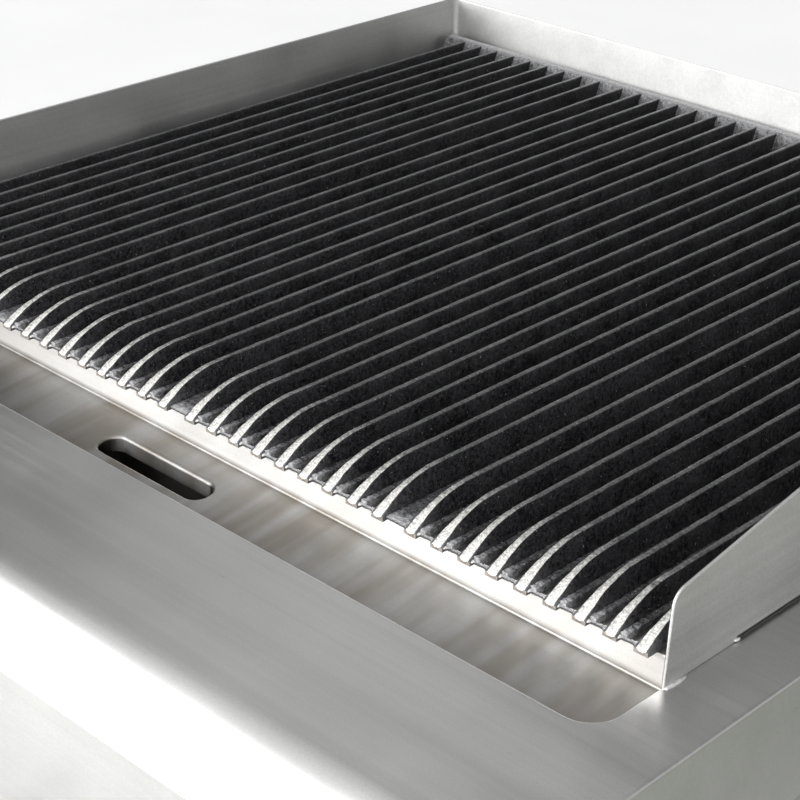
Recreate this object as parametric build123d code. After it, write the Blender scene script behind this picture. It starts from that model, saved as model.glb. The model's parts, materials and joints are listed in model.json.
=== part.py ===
"""Countertop gas griddle: pressed worktop, grease trough, four ribbed cast-iron plates.

Frame: origin at the bottom centre, +X right, +Y to the back, +Z up, millimetres.
"""
from build123d import *
from math import sqrt
import os

# ---- overall size ---------------------------------------------------------
WIDTH = 600.0
DEPTH = 632.0
DECK_Z = 280.0
SHEET = 1.5
FRONT_Y = -DEPTH / 2
BACK_Y = DEPTH / 2

# ---- grates ---------------------------------------------------------------
RIB_PITCH = 14.28
RIBS = 9
GRATES = 4
GRATE_PITCH = 132.4
GRATE_GAP = 0.4
FIRST_RIB = 15.28
RIB_TOP_WIDTH = 2.4
RIB_FOOT_WIDTH = 6.4
RIB_FRONT_HEIGHT = 13.1
RIB_BACK_HEIGHT = 17.1
LIP_HEIGHT = 2.0
FLOOR_THICKNESS = 2.4
GRATE_SEAT_Z = DECK_Z + 13.0
GRATE_TOP_Z = GRATE_SEAT_Z + RIB_BACK_HEIGHT
FOOT_Y = -190.3
NOSE_LENGTH = 34.0
GRATE_BACK_Y = 279.5
END_WALL = 6.4
END_WALL_LEAN = 6.6
SLOT_WIDTH = 4.7
SLOT_LIP = 3.5
RIDGE_WIDTH = 3.0
RIDGE_HEIGHT = 1.4
NOTCH_R = 2.4
TIE_SHARES = (0.33, 0.67)
TIE_WIDTH = 6.0
TIE_DEPTH = 5.0

# ---- worktop, trough and splash guard -------------------------------------
BULLNOSE_R = 20.0
HEM = 14.0
FOLD_R = 1.4
APRON = 40.0
SKIRT = 60.0
OPENING_HALF = 269.0
OPENING_FRONT_Y = -222.9
OPENING_CORNER_R = 14.0
GUARD_BACK_Y = 285.2
GUARD_FRONT_Y = -185.5
GUARD_NOSE_Y = -183.6
GUARD_HEIGHT = 52.8
GUARD_NOSE_HEIGHT = 39.4
GUARD_NOSE_R = 7.0
GUARD_FOOT_SLOT = (-141.0, 238.0)
GUARD_FOOT_SLOT_HEIGHT = 2.2
GUARD_SLOPE_END_Y = -108.0
GUARD_SLOPE_R = 30.0
GUARD_BEND_R = 4.0
TROUGH_REAR_DROP = 2.2
TROUGH_FRONT_DROP = 6.5
TROUGH_BEND = 0.8
TROUGH_UNDERLAP = 4.0
RISER_Y = -184.0
LEDGE = 26.0
DRAIN_X = 10.8
DRAIN_Y = -206.0
DRAIN_LENGTH = 69.5
DRAIN_WIDTH = 13.4
DRAIN_FLANGE = 8.0
CHUTE_HALF_X = 42.0
CHUTE_HALF_Y = 14.0
CHUTE_SHEET = 1.2

# ---- body -----------------------------------------------------------------
BODY_Z = 45.0
PANEL_Y = -262.0
BACK_PANEL_Y = 300.0
SIDE_X = 296.8
DRAWER_TOP_Z = 86.0
PAN_Z = 56.0
PAN_TOP_Z = 80.0
PAN_HALF = 238.0
PAN_BACK_Y = 150.0
PAN_SHEET = 1.2
RAIL_X = 239.0
RAIL_BACK_Y = 250.0
FRONT_HALF = 279.6
HANDLE_Z = 68.0
HANDLE_HALF = 60.0
HANDLE_REACH = 32.0
HANDLE_R = 5.0
IGNITER_X = -215.0
BURNER_X = 132.4
BURNER_Z = 178.0
FIREBOX_HALF = 267.4
FIREBOX_FRONT_Y = -180.0
FIREBOX_BACK_Y = 284.4
FIREBOX_SHEET = 1.2
FIREBOX_Z = 150.0
FIREBOX_TOP_Z = DECK_Z + 1.6
FIREBOX_LIP = 14.0
SHELF_Z = 206.0
SHELF_INSET = 16.0
RAIL_HALF = 262.0
RAIL_FRONT_Y = 258.0
RAIL_SHEET = 2.0
RAIL_LEG = 30.0
RADIANT_RIDGE_Z = 240.0
RADIANT_HALF = 58.0
RADIANT_EDGE = 5.0
RADIANT_THICKNESS = 2.9
BURNER_R = 20.0
BURNER_WALL = 2.5
BURNER_END_Y = 250.0
MIXER_R = 14.0
MIXER_Y = -206.0
PORT_R = 1.6
PORTS = 14
PORT_LEAN = 35
PIPE_X = 282.0
PIPE_Y = -240.0
PIPE_Z = 158.0
PIPE_R = 9.0
PIPE_BEND = 22.0
PIPE_END_X = -160.0
INLET_R = 10.48
INLET_BORE_R = 7.5
STEM_R = 4.0
STEM_HOLE_R = 4.05
KNOB_R = 26.0
KNOB_HUB_R = 20.0
KNOB_DEPTH = 30.0
KNOB_GAP = 6.0
BEZEL_R = 34.0
IGNITER_R = 10.9
IGNITER_HOLE_R = 11.0
BUTTON_R = 7.0
FOOT_X = 255.0
FOOT_FRONT_Y = -225.0
FOOT_BACK_Y = 262.0
PAD_R = 20.0
PAD_HEIGHT = 16.5
SLEEVE_R = 22.0
SLEEVE_Z = 17.0
SCREW_R = 5.0
SCREW_HOLE_R = 5.3
HEAD_R = 3.6
HEAD_HEIGHT = 1.6


def block(x0, x1, y0, y1, z0, z1):
    """Box between two corners."""
    size = Box(x1 - x0, y1 - y0, z1 - z0)
    return Pos((x0 + x1) / 2, (y0 + y1) / 2, (z0 + z1) / 2) * size


def rod_y(x, z, r, y0, y1):
    """Round bar along Y."""
    return Pos(x, (y0 + y1) / 2, z) * Rot(90, 0, 0) * Cylinder(r, y1 - y0)


def rod_x(y, z, r, x0, x1):
    """Round bar along X."""
    return Pos((x0 + x1) / 2, y, z) * Rot(0, 90, 0) * Cylinder(r, x1 - x0)


def rod_z(x, y, r, z0, z1):
    """Round bar along Z."""
    return Pos(x, y, (z0 + z1) / 2) * Cylinder(r, z1 - z0)


def extrude_x(profile, x0, x1):
    """Prism along X of an outline given as (y, z) points or edges."""
    face = make_face(profile)
    return Pos(x0, 0, 0) * extrude(face, amount=x1 - x0, dir=(1, 0, 0))


def outline_yz(points):
    """Closed straight-sided outline in the YZ plane."""
    return Polyline(*[(0, y, z) for y, z in points], close=True)


# ---- grates ---------------------------------------------------------------
def rib_side_prism():
    """Side view of a rib: curved nose, then a top line that rises to the back."""
    drop = RIB_FRONT_HEIGHT - LIP_HEIGHT
    radius = (NOSE_LENGTH ** 2 + drop ** 2) / (2 * drop)
    centre_y = FOOT_Y + NOSE_LENGTH
    crown_z = GRATE_SEAT_Z + RIB_FRONT_HEIGHT
    mid = NOSE_LENGTH / 2
    mid_z = crown_z - radius + sqrt(radius ** 2 - mid ** 2)
    nose = ThreePointArc(
        (0, FOOT_Y, GRATE_SEAT_Z + LIP_HEIGHT),
        (0, centre_y - mid, mid_z),
        (0, centre_y, crown_z),
    )
    rest = Polyline(
        (0, centre_y, crown_z),
        (0, GRATE_BACK_Y, GRATE_TOP_Z),
        (0, GRATE_BACK_Y, GRATE_SEAT_Z),
        (0, FOOT_Y, GRATE_SEAT_Z),
        (0, FOOT_Y, GRATE_SEAT_Z + LIP_HEIGHT),
    )
    return extrude_x(nose + rest, -RIB_FOOT_WIDTH, RIB_FOOT_WIDTH)


def rib_section_prism():
    """Cross-section of a rib: thin at the top, flared at the foot."""
    top = RIB_TOP_WIDTH / 2
    foot = RIB_FOOT_WIDTH / 2
    z_foot = GRATE_SEAT_Z + LIP_HEIGHT
    z_mid = z_foot + 0.36 * (GRATE_TOP_Z - z_foot)
    mid = top + 0.25 * (foot - top)
    y0 = FOOT_Y - 1
    right = ThreePointArc((top, y0, GRATE_TOP_Z), (mid, y0, z_mid), (foot, y0, z_foot))
    left = ThreePointArc((-foot, y0, z_foot), (-mid, y0, z_mid), (-top, y0, GRATE_TOP_Z))
    bottom = Polyline(
        (foot, y0, z_foot),
        (foot, y0, GRATE_SEAT_Z),
        (-foot, y0, GRATE_SEAT_Z),
        (-foot, y0, z_foot),
    )
    lid = Line((-top, y0, GRATE_TOP_Z), (top, y0, GRATE_TOP_Z))
    face = make_face(right + bottom + left + lid)
    return extrude(face, amount=GRATE_BACK_Y - y0, dir=(0, 1, 0))


def grate_casting():
    """One casting with its left edge at x = 0."""
    width = GRATE_PITCH - GRATE_GAP
    rib = rib_side_prism() & rib_section_prism()
    floor_top = GRATE_SEAT_Z + FLOOR_THICKNESS
    body = block(0, width, FOOT_Y, GRATE_BACK_Y, GRATE_SEAT_Z, floor_top)
    end_y = GRATE_BACK_Y - END_WALL
    end_wall = extrude_x(
        outline_yz([
            (end_y - END_WALL_LEAN, GRATE_SEAT_Z),
            (end_y - END_WALL_LEAN, floor_top),
            (end_y, GRATE_TOP_Z),
            (GRATE_BACK_Y, GRATE_TOP_Z),
            (GRATE_BACK_Y, GRATE_SEAT_Z),
        ]),
        0, width,
    )
    slot_y0 = FOOT_Y + SLOT_LIP
    slot_y1 = end_y - END_WALL_LEAN
    centres = [FIRST_RIB + RIB_PITCH * i for i in range(RIBS)]
    ribs = [Pos(x, 0, 0) * rib for x in centres]
    ridges = []
    slots = []
    for x in centres[:-1]:
        ridge_x = x + RIB_FOOT_WIDTH / 2
        ridges.append(block(ridge_x, ridge_x + RIDGE_WIDTH, slot_y0, slot_y1,
                            GRATE_SEAT_Z, floor_top + RIDGE_HEIGHT))
        slot_x = x + RIB_PITCH - RIB_FOOT_WIDTH / 2
        slots.append(block(slot_x - SLOT_WIDTH, slot_x, slot_y0, slot_y1,
                           GRATE_SEAT_Z - 1, floor_top + 1))
        notch_x = slot_x - SLOT_WIDTH / 2
        slots.append(rod_y(notch_x, GRATE_SEAT_Z - 1, NOTCH_R, FOOT_Y - 1, slot_y0))
    body = body - slots
    body = body + ribs + ridges + end_wall
    ties = []
    half_tie = TIE_WIDTH / 2
    for share in TIE_SHARES:
        tie_y = FOOT_Y + share * (GRATE_BACK_Y - FOOT_Y)
        ties.append(block(1, width - 1, tie_y - half_tie, tie_y + half_tie,
                          GRATE_SEAT_Z - TIE_DEPTH, GRATE_SEAT_Z + 1))
    body = body + ties
    limits = block(0, width, FOOT_Y, GRATE_BACK_Y, GRATE_SEAT_Z - TIE_DEPTH, GRATE_TOP_Z)
    return body & limits


# ---- worktop, trough, guard -----------------------------------------------
def worktop_profile(inset):
    """Side outline of the worktop, moved inwards by inset; open skirts come later."""
    front = FRONT_Y + inset
    back = BACK_Y - inset
    top = DECK_Z - inset
    radius = BULLNOSE_R - inset
    low = DECK_Z - SKIRT - (1 if inset else 0)
    centre_y = front + radius
    centre_z = top - radius
    diagonal = radius * sqrt(0.5)
    nose = ThreePointArc(
        (0, front, centre_z),
        (0, centre_y - diagonal, centre_z + diagonal),
        (0, centre_y, top),
    )
    rest = Polyline(
        (0, centre_y, top),
        (0, back, top),
        (0, back, low),
        (0, front, low),
        (0, front, centre_z),
    )
    return nose + rest


def worktop():
    """Pressed top with bullnose, apron hem, side and back skirts and the cut-out."""
    half = WIDTH / 2
    shell = extrude_x(worktop_profile(0), -half, half)
    rims = shell.edges().filter_by(Axis.Y).group_by(Axis.Z)[-1]
    shell = fillet(rims, FOLD_R)
    shell = shell - extrude_x(worktop_profile(SHEET), -half + SHEET, half - SHEET)
    apron_z = DECK_Z - APRON
    shell = shell - block(-half - 1, half + 1, FRONT_Y - 1, PANEL_Y + 6, DECK_Z - SKIRT - 2, apron_z)
    hem = block(-half + SHEET, half - SHEET, FRONT_Y + SHEET, FRONT_Y + HEM, apron_z, apron_z + SHEET)
    depth = GUARD_BACK_Y - OPENING_FRONT_Y
    middle = (GUARD_BACK_Y + OPENING_FRONT_Y) / 2
    hole = Pos(0, middle, DECK_Z - 3) * Box(2 * OPENING_HALF, depth, 8)
    hole = fillet(hole.edges().filter_by(Axis.Z).group_by(Axis.Y)[0], OPENING_CORNER_R)
    hole = fillet(hole.edges().filter_by(Axis.Z).group_by(Axis.Y)[-1], GUARD_BEND_R)
    return shell + hem - hole


def trough():
    """Grease trough, riser and the ledge the grate noses rest on."""
    rear_z = DECK_Z - TROUGH_REAR_DROP
    front_z = DECK_Z - TROUGH_FRONT_DROP
    front_y = OPENING_FRONT_Y - TROUGH_UNDERLAP
    under_deck = DECK_Z - SHEET
    bend = TROUGH_BEND
    riser_back = RISER_Y + SHEET
    section = outline_yz([
        (front_y - SHEET, under_deck),
        (front_y - SHEET, front_z - SHEET),
        (riser_back, rear_z - SHEET),
        (riser_back, GRATE_SEAT_Z - SHEET),
        (RISER_Y + LEDGE, GRATE_SEAT_Z - SHEET),
        (RISER_Y + LEDGE, GRATE_SEAT_Z),
        (RISER_Y, GRATE_SEAT_Z),
        (RISER_Y, rear_z + bend),
        (RISER_Y - 0.3 * bend, rear_z + 0.3 * bend),
        (RISER_Y - bend, rear_z),
        (front_y, front_z),
        (front_y, under_deck),
    ])
    half = OPENING_HALF
    body = extrude_x(section, -half, half)
    for x0 in (-half - SHEET, half):
        wall = block(x0, x0 + SHEET, front_y - SHEET, riser_back, front_z - SHEET, under_deck)
        body = body + wall
    drain_z = front_z - DRAIN_FLANGE + 3
    below_floor = extrude_x(
        outline_yz([(front_y, front_z), (RISER_Y, rear_z), (RISER_Y, drain_z), (front_y, drain_z)]),
        -half, half,
    )
    place = Pos(DRAIN_X, DRAIN_Y, drain_z - 1)
    tube = extrude(SlotOverall(DRAIN_LENGTH + 2 * SHEET, DRAIN_WIDTH + 2 * SHEET), amount=20)
    hole = extrude(SlotOverall(DRAIN_LENGTH, DRAIN_WIDTH), amount=20)
    return body + (place * tube & below_floor) - place * hole


def splash_guard():
    """Three-sided bent sheet standing on the worktop round the grates."""
    outer_x = OPENING_HALF + SHEET
    outer_y = GUARD_BACK_Y + SHEET
    length = outer_y - GUARD_FRONT_Y
    middle = (outer_y + GUARD_FRONT_Y) / 2
    outer = Pos(0, middle, DECK_Z + GUARD_HEIGHT / 2) * Box(2 * outer_x, length, GUARD_HEIGHT)
    outer = fillet(outer.edges().filter_by(Axis.Z).group_by(Axis.Y)[-1], GUARD_BEND_R + SHEET)
    inner_middle = (GUARD_BACK_Y + GUARD_FRONT_Y - 10) / 2
    inner = Box(2 * OPENING_HALF, GUARD_BACK_Y - GUARD_FRONT_Y + 10, GUARD_HEIGHT + 2)
    inner = Pos(0, inner_middle, DECK_Z + GUARD_HEIGHT / 2) * inner
    inner = fillet(inner.edges().filter_by(Axis.Z).group_by(Axis.Y)[-1], GUARD_BEND_R)
    nose_z = DECK_Z + GUARD_NOSE_HEIGHT
    top_z = DECK_Z + GUARD_HEIGHT
    edge = FilletPolyline(
        (0, GUARD_FRONT_Y, DECK_Z),
        (0, GUARD_NOSE_Y, nose_z),
        (0, GUARD_SLOPE_END_Y, top_z),
        (0, outer_y, top_z),
        radius=[GUARD_NOSE_R, GUARD_SLOPE_R],
    )
    rest = Polyline(
        (0, outer_y, top_z),
        (0, outer_y, DECK_Z),
        (0, GUARD_FRONT_Y, DECK_Z),
    )
    side_view = extrude_x(edge + rest, -outer_x, outer_x)
    slot_y0, slot_y1 = GUARD_FOOT_SLOT
    relief = block(-outer_x - 1, outer_x + 1, slot_y0, slot_y1, DECK_Z - 1, DECK_Z + GUARD_FOOT_SLOT_HEIGHT)
    return (outer - inner - relief) & side_view


def rear_rail():
    """Angle behind the fire that carries the backs of the grates."""
    leg_y = FIREBOX_BACK_Y - RAIL_SHEET
    seat = block(-RAIL_HALF, RAIL_HALF, RAIL_FRONT_Y, FIREBOX_BACK_Y, GRATE_SEAT_Z - RAIL_SHEET, GRATE_SEAT_Z)
    leg = block(-RAIL_HALF, RAIL_HALF, leg_y, FIREBOX_BACK_Y, GRATE_SEAT_Z - RAIL_LEG, GRATE_SEAT_Z)
    return seat + leg


# ---- fire -----------------------------------------------------------------
def firebox_side(side):
    """Side wall of the firebox; its rim shows in the guard's foot slot."""
    x0 = FIREBOX_HALF
    x1 = FIREBOX_HALF + FIREBOX_SHEET
    y1 = FIREBOX_BACK_Y - 5
    wall = block(x0, x1, FIREBOX_FRONT_Y, y1, FIREBOX_Z, FIREBOX_TOP_Z)
    lip = block(x0 - FIREBOX_LIP, x0, FIREBOX_FRONT_Y + 4, y1, FIREBOX_Z, FIREBOX_Z + FIREBOX_SHEET)
    part = wall + lip
    return part if side > 0 else mirror(part, about=Plane.YZ)


def firebox_front():
    """Front wall with holes for the two burners."""
    half = FIREBOX_HALF - 0.2
    wall = block(-half, half, FIREBOX_FRONT_Y, FIREBOX_FRONT_Y + FIREBOX_SHEET,
                 FIREBOX_Z, GRATE_SEAT_Z - SHEET)
    ledge = block(-half + SHELF_INSET, half - SHELF_INSET, FIREBOX_FRONT_Y + FIREBOX_SHEET,
                  FIREBOX_FRONT_Y + 18, SHELF_Z, SHELF_Z + FIREBOX_SHEET)
    for x in (-BURNER_X, BURNER_X):
        wall = wall - rod_y(x, BURNER_Z, MIXER_R + 0.4, FIREBOX_FRONT_Y - 5, FIREBOX_FRONT_Y + 5)
    return wall + ledge


def firebox_back():
    """Back wall with the ledge for the radiants."""
    half = FIREBOX_HALF - 0.2
    back = FIREBOX_BACK_Y - RAIL_SHEET
    wall = block(-half, half, back - FIREBOX_SHEET, back, FIREBOX_Z, GRATE_SEAT_Z - RAIL_LEG)
    ledge = block(-half + SHELF_INSET, half - SHELF_INSET, back - 22, back - FIREBOX_SHEET,
                  SHELF_Z, SHELF_Z + FIREBOX_SHEET)
    return wall + ledge


def radiant(x):
    """Roof-shaped heat deflector over one burner."""
    eave_z = SHELF_Z + FIREBOX_SHEET
    half = RADIANT_HALF
    y0 = FIREBOX_FRONT_Y + 5
    outline = Polyline(
        (x - half, y0, eave_z),
        (x, y0, RADIANT_RIDGE_Z),
        (x + half, y0, eave_z),
        (x + half - RADIANT_EDGE, y0, eave_z),
        (x, y0, RADIANT_RIDGE_Z - RADIANT_THICKNESS),
        (x - half + RADIANT_EDGE, y0, eave_z),
        close=True,
    )
    return extrude(make_face(outline), amount=FIREBOX_BACK_Y - 10 - y0, dir=(0, 1, 0))


def burner(x):
    """Bar burner with mixing tube and two rows of ports."""
    y1 = BURNER_END_Y
    head_y = FIREBOX_FRONT_Y + 10
    body = rod_y(x, BURNER_Z, BURNER_R, head_y, y1)
    neck = rod_y(x, BURNER_Z, MIXER_R, MIXER_Y, head_y + 2)
    hollow = rod_y(x, BURNER_Z, BURNER_R - BURNER_WALL, head_y + 3, y1 - 4)
    throat = rod_y(x, BURNER_Z, MIXER_R - BURNER_WALL, MIXER_Y - 1, head_y + 4)
    body = body + neck - hollow - throat
    ports = []
    for i in range(PORTS):
        port_y = head_y + 20 + i * (y1 - head_y - 40) / (PORTS - 1)
        for lean in (-PORT_LEAN, PORT_LEAN):
            drill = Pos(0, 0, BURNER_R - 2) * Cylinder(PORT_R, 9)
            ports.append(Pos(x, port_y, BURNER_Z) * Rot(0, lean, 0) * drill)
    return body - ports


def burner_cradles():
    """Angle brackets that hold each burner's far end on the back wall."""
    parts = []
    wall_y = FIREBOX_BACK_Y - RAIL_SHEET - FIREBOX_SHEET
    top = BURNER_Z - BURNER_R
    half = 15.0
    thick = 3.0
    for x in (-BURNER_X, BURNER_X):
        arm = block(x - half, x + half, BURNER_END_Y - 25, wall_y, top - thick, top)
        flange = block(x - half, x + half, wall_y - thick, wall_y, top - 8, top)
        parts.append(arm + flange)
    return Compound(children=parts)


# ---- gas train ------------------------------------------------------------
def gas_pipe():
    """Supply pipe: along the front behind the panel, then along the right side."""
    path = FilletPolyline(
        (PIPE_END_X, PIPE_Y, PIPE_Z),
        (PIPE_X, PIPE_Y, PIPE_Z),
        (PIPE_X, BACK_PANEL_Y - 8, PIPE_Z),
        radius=PIPE_BEND,
    )
    start = Plane(origin=(PIPE_END_X, PIPE_Y, PIPE_Z), x_dir=(0, 1, 0), z_dir=(1, 0, 0))
    return sweep(start * Circle(PIPE_R), path=path)


def gas_inlet():
    """Threaded connection through the back panel."""
    outside = BACK_PANEL_Y + SHEET
    collar_y = outside + 4
    collar = Pos(PIPE_X, collar_y, PIPE_Z) * Rot(90, 0, 0) * extrude(RegularPolygon(13, 6), amount=4)
    neck = rod_y(PIPE_X, PIPE_Z, 9.6, BACK_PANEL_Y - 8, outside)
    nipple = rod_y(PIPE_X, PIPE_Z, INLET_R, collar_y, BACK_Y - 0.5)
    bore = rod_y(PIPE_X, PIPE_Z, INLET_BORE_R, BACK_PANEL_Y - 7, BACK_Y)
    return neck + collar + nipple - bore


def gas_valve(x):
    """Tap body clamped on the supply pipe, pointing at the panel."""
    saddle = block(x - 14, x + 14, PIPE_Y - 13, PIPE_Y + 13, PIPE_Z + 3, BURNER_Z - 8)
    body = rod_y(x, BURNER_Z, 13, PIPE_Y - 14, PIPE_Y + 14)
    gland = rod_y(x, BURNER_Z, 8.5, PANEL_Y + 4, PIPE_Y - 14)
    bore = rod_y(x, BURNER_Z, STEM_HOLE_R, PANEL_Y, PIPE_Y - 2)
    return saddle + body + gland - bore - rod_x(PIPE_Y, PIPE_Z, PIPE_R, x - 20, x + 20)


def valve_stem(x):
    """Round tap spindle, from inside the tap to inside the knob."""
    return rod_y(x, BURNER_Z, STEM_R, PANEL_Y - 22, PIPE_Y - 8)


def injectors():
    """Brass jets at the back of the taps."""
    jets = []
    for x in (-BURNER_X, BURNER_X):
        hexagon = Rot(90, 0, 0) * extrude(RegularPolygon(7.5, 6), amount=7)
        jet = Pos(x, PIPE_Y + 21, BURNER_Z) * hexagon
        jet = jet + rod_y(x, BURNER_Z, 4.5, PIPE_Y + 20, PIPE_Y + 28)
        jets.append(jet - rod_y(x, BURNER_Z, 1.0, PIPE_Y + 13, PIPE_Y + 30))
    return Compound(children=jets)


def knob(x):
    """Gas tap knob: skirt, grip bar and pointer."""
    back = PANEL_Y - KNOB_GAP
    skirt = rod_y(x, BURNER_Z, KNOB_R, back - 10, back)
    skirt = chamfer(skirt.edges().group_by(Axis.Y)[0], 2.0)
    hub = rod_y(x, BURNER_Z, KNOB_HUB_R, back - 14, back - 9)
    reach = KNOB_HUB_R - 1
    grip = block(x - 6.5, x + 6.5, back - KNOB_DEPTH, back - 12, BURNER_Z - reach, BURNER_Z + reach)
    grip = fillet(grip.edges().filter_by(Axis.Y), 4.0)
    grip = fillet(grip.edges().group_by(Axis.Y)[0], 2.0)
    pointer = block(x - 1.2, x + 1.2, back - 10.8, back - 8, BURNER_Z + 18, BURNER_Z + 25)
    bore = rod_y(x, BURNER_Z, STEM_HOLE_R, back - 16.4, back + 1)
    return skirt + hub + grip + pointer - bore


def bezels():
    """Trim rings round the knobs, fixed to the panel."""
    rings = []
    for x in (-BURNER_X, BURNER_X):
        ring = rod_y(x, BURNER_Z, BEZEL_R, PANEL_Y - 2, PANEL_Y)
        ring = chamfer(ring.edges().group_by(Axis.Y)[0], 1.0)
        rings.append(ring - rod_y(x, BURNER_Z, BEZEL_R - 6, PANEL_Y - 3, PANEL_Y + 1))
    return Compound(children=rings)


def igniter_body():
    """Push igniter housing screwed through the panel."""
    bush = rod_y(IGNITER_X, BURNER_Z, 13, PANEL_Y - 5, PANEL_Y)
    bush = chamfer(bush.edges().group_by(Axis.Y)[0], 1.2)
    barrel = rod_y(IGNITER_X, BURNER_Z, IGNITER_R, PANEL_Y, PANEL_Y + 34)
    bore = rod_y(IGNITER_X, BURNER_Z, BUTTON_R + 0.4, PANEL_Y - 6, PANEL_Y + 22)
    return bush + barrel - bore


def igniter_button():
    """Sprung button of the igniter."""
    button = rod_y(IGNITER_X, BURNER_Z, BUTTON_R, PANEL_Y - 12, PANEL_Y + 8)
    return fillet(button.edges().group_by(Axis.Y)[0], 1.5)


def electrodes():
    """Spark electrodes clamped on the firebox front wall beside each burner."""
    parts = []
    for x in (-BURNER_X, BURNER_X):
        px = x + 26
        tab = block(px - 7, px + 7, FIREBOX_FRONT_Y + FIREBOX_SHEET, FIREBOX_FRONT_Y + 30,
                    BURNER_Z + 8, BURNER_Z + 9.5)
        ceramic = rod_z(px, FIREBOX_FRONT_Y + 22, 3.5, BURNER_Z - 14, BURNER_Z + 22)
        parts.append(tab + ceramic)
    return Compound(children=parts)


# ---- drain and drawer -----------------------------------------------------
def drain_chute():
    """Square duct from the drain slot down to the drawer."""
    top = DECK_Z - TROUGH_FRONT_DROP - 2 * SHEET + 1
    low = DRAWER_TOP_Z + 2
    x = CHUTE_HALF_X
    y = CHUTE_HALF_Y
    duct = block(-x, x, -y, y, low, top)
    x = x - CHUTE_SHEET
    y = y - CHUTE_SHEET
    duct = duct - block(-x, x, -y, y, low - 1, top + 1)
    return Pos(DRAIN_X, DRAIN_Y, 0) * duct


def drawer_pan():
    """Open grease pan."""
    outer = block(-PAN_HALF, PAN_HALF, PANEL_Y, PAN_BACK_Y, PAN_Z, PAN_TOP_Z)
    half = PAN_HALF - PAN_SHEET
    front, back = PANEL_Y + PAN_SHEET, PAN_BACK_Y - PAN_SHEET
    return outer - block(-half, half, front, back, PAN_Z + PAN_SHEET, PAN_TOP_Z + 1)


def drawer_front():
    """Front plate of the drawer."""
    half = FRONT_HALF - 0.2
    return block(-half, half, PANEL_Y - SHEET, PANEL_Y, BODY_Z + 5, DRAWER_TOP_Z)


def drawer_handle():
    """Bow handle on two posts."""
    y_grip = PANEL_Y - HANDLE_REACH
    path = FilletPolyline(
        (-HANDLE_HALF, PANEL_Y - SHEET, HANDLE_Z),
        (-HANDLE_HALF, y_grip, HANDLE_Z),
        (HANDLE_HALF, y_grip, HANDLE_Z),
        (HANDLE_HALF, PANEL_Y - SHEET, HANDLE_Z),
        radius=12,
    )
    start = Plane(origin=(-HANDLE_HALF, PANEL_Y - SHEET, HANDLE_Z), x_dir=(1, 0, 0), z_dir=(0, -1, 0))
    return sweep(start * Circle(HANDLE_R), path=path)


def drawer_rail(side):
    """Runner for one side of the drawer, standing on the base."""
    y0 = PANEL_Y + 6
    outer = RAIL_X + SHEET
    web = block(RAIL_X, outer, y0, RAIL_BACK_Y, BODY_Z + SHEET, PAN_TOP_Z)
    shelf = block(RAIL_X - 15, RAIL_X, y0, RAIL_BACK_Y, PAN_Z - 2, PAN_Z - 0.5)
    flange = block(outer, outer + 7.5, y0, RAIL_BACK_Y, BODY_Z + SHEET, BODY_Z + 2 * SHEET)
    part = web + shelf + flange
    return part if side > 0 else mirror(part, about=Plane.YZ)


# ---- body -----------------------------------------------------------------
def side_panel(side):
    """Side of the body with its front stile."""
    top = DECK_Z - SHEET
    wall = block(SIDE_X, SIDE_X + SHEET, PANEL_Y, BACK_PANEL_Y + SHEET, BODY_Z, top)
    stile = block(FRONT_HALF + 0.4, SIDE_X, PANEL_Y, PANEL_Y + SHEET, BODY_Z, top)
    part = wall + stile
    return part if side > 0 else mirror(part, about=Plane.YZ)


def control_panel():
    """Front panel with holes for the taps and the igniter."""
    top = DECK_Z - SHEET
    low = DRAWER_TOP_Z + 2
    panel = block(-FRONT_HALF, FRONT_HALF, PANEL_Y, PANEL_Y + SHEET, low, top)
    flange = block(-FRONT_HALF, FRONT_HALF, PANEL_Y + SHEET, PANEL_Y + HEM, low, low + SHEET)
    for x in (-BURNER_X, BURNER_X):
        panel = panel - rod_y(x, BURNER_Z, 5.0, PANEL_Y - 2, PANEL_Y + 5)
    panel = panel - rod_y(IGNITER_X, BURNER_Z, IGNITER_HOLE_R, PANEL_Y - 2, PANEL_Y + 5)
    return panel + flange


def back_panel():
    """Back of the body with rows of air slots and the gas hole."""
    panel = block(-SIDE_X + 0.2, SIDE_X - 0.2, BACK_PANEL_Y, BACK_PANEL_Y + SHEET, BODY_Z, DECK_Z - SHEET)
    cuts = []
    for row in range(3):
        for column in range(5):
            x = -200 + 100 * column
            z = 85 + 24 * row
            cuts.append(block(x - 32, x + 32, BACK_PANEL_Y - 2, BACK_PANEL_Y + 4, z, z + 5))
    cuts.append(rod_y(PIPE_X, PIPE_Z, 10.6, BACK_PANEL_Y - 2, BACK_PANEL_Y + 4))
    return panel - cuts


def base_pan():
    """Bottom sheet with air slots and turned-up edges."""
    half = SIDE_X - 0.2
    y0 = PANEL_Y + 6
    pan = block(-half, half, y0, BACK_PANEL_Y, BODY_Z, BODY_Z + SHEET)
    for side in (-1, 1):
        edge = side * (half - SHEET / 2)
        pan = pan + block(edge - SHEET / 2, edge + SHEET / 2, y0, BACK_PANEL_Y, BODY_Z, BODY_Z + 24)
    cuts = []
    for row in range(6):
        for column in range(4):
            x = -150 + 100 * column
            y = -120 + 60 * row
            cuts.append(block(x - 35, x + 35, y - 4, y + 4, BODY_Z - 1, BODY_Z + 3))
    for x in (-FOOT_X, FOOT_X):
        for y in (FOOT_FRONT_Y, FOOT_BACK_Y):
            cuts.append(rod_z(x, y, SCREW_HOLE_R, BODY_Z - 1, BODY_Z + 3))
    return pan - cuts


def foot_places():
    """Names and places of the four feet."""
    return {
        "front_left": (-FOOT_X, FOOT_FRONT_Y),
        "front_right": (FOOT_X, FOOT_FRONT_Y),
        "back_left": (-FOOT_X, FOOT_BACK_Y),
        "back_right": (FOOT_X, FOOT_BACK_Y),
    }


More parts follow.
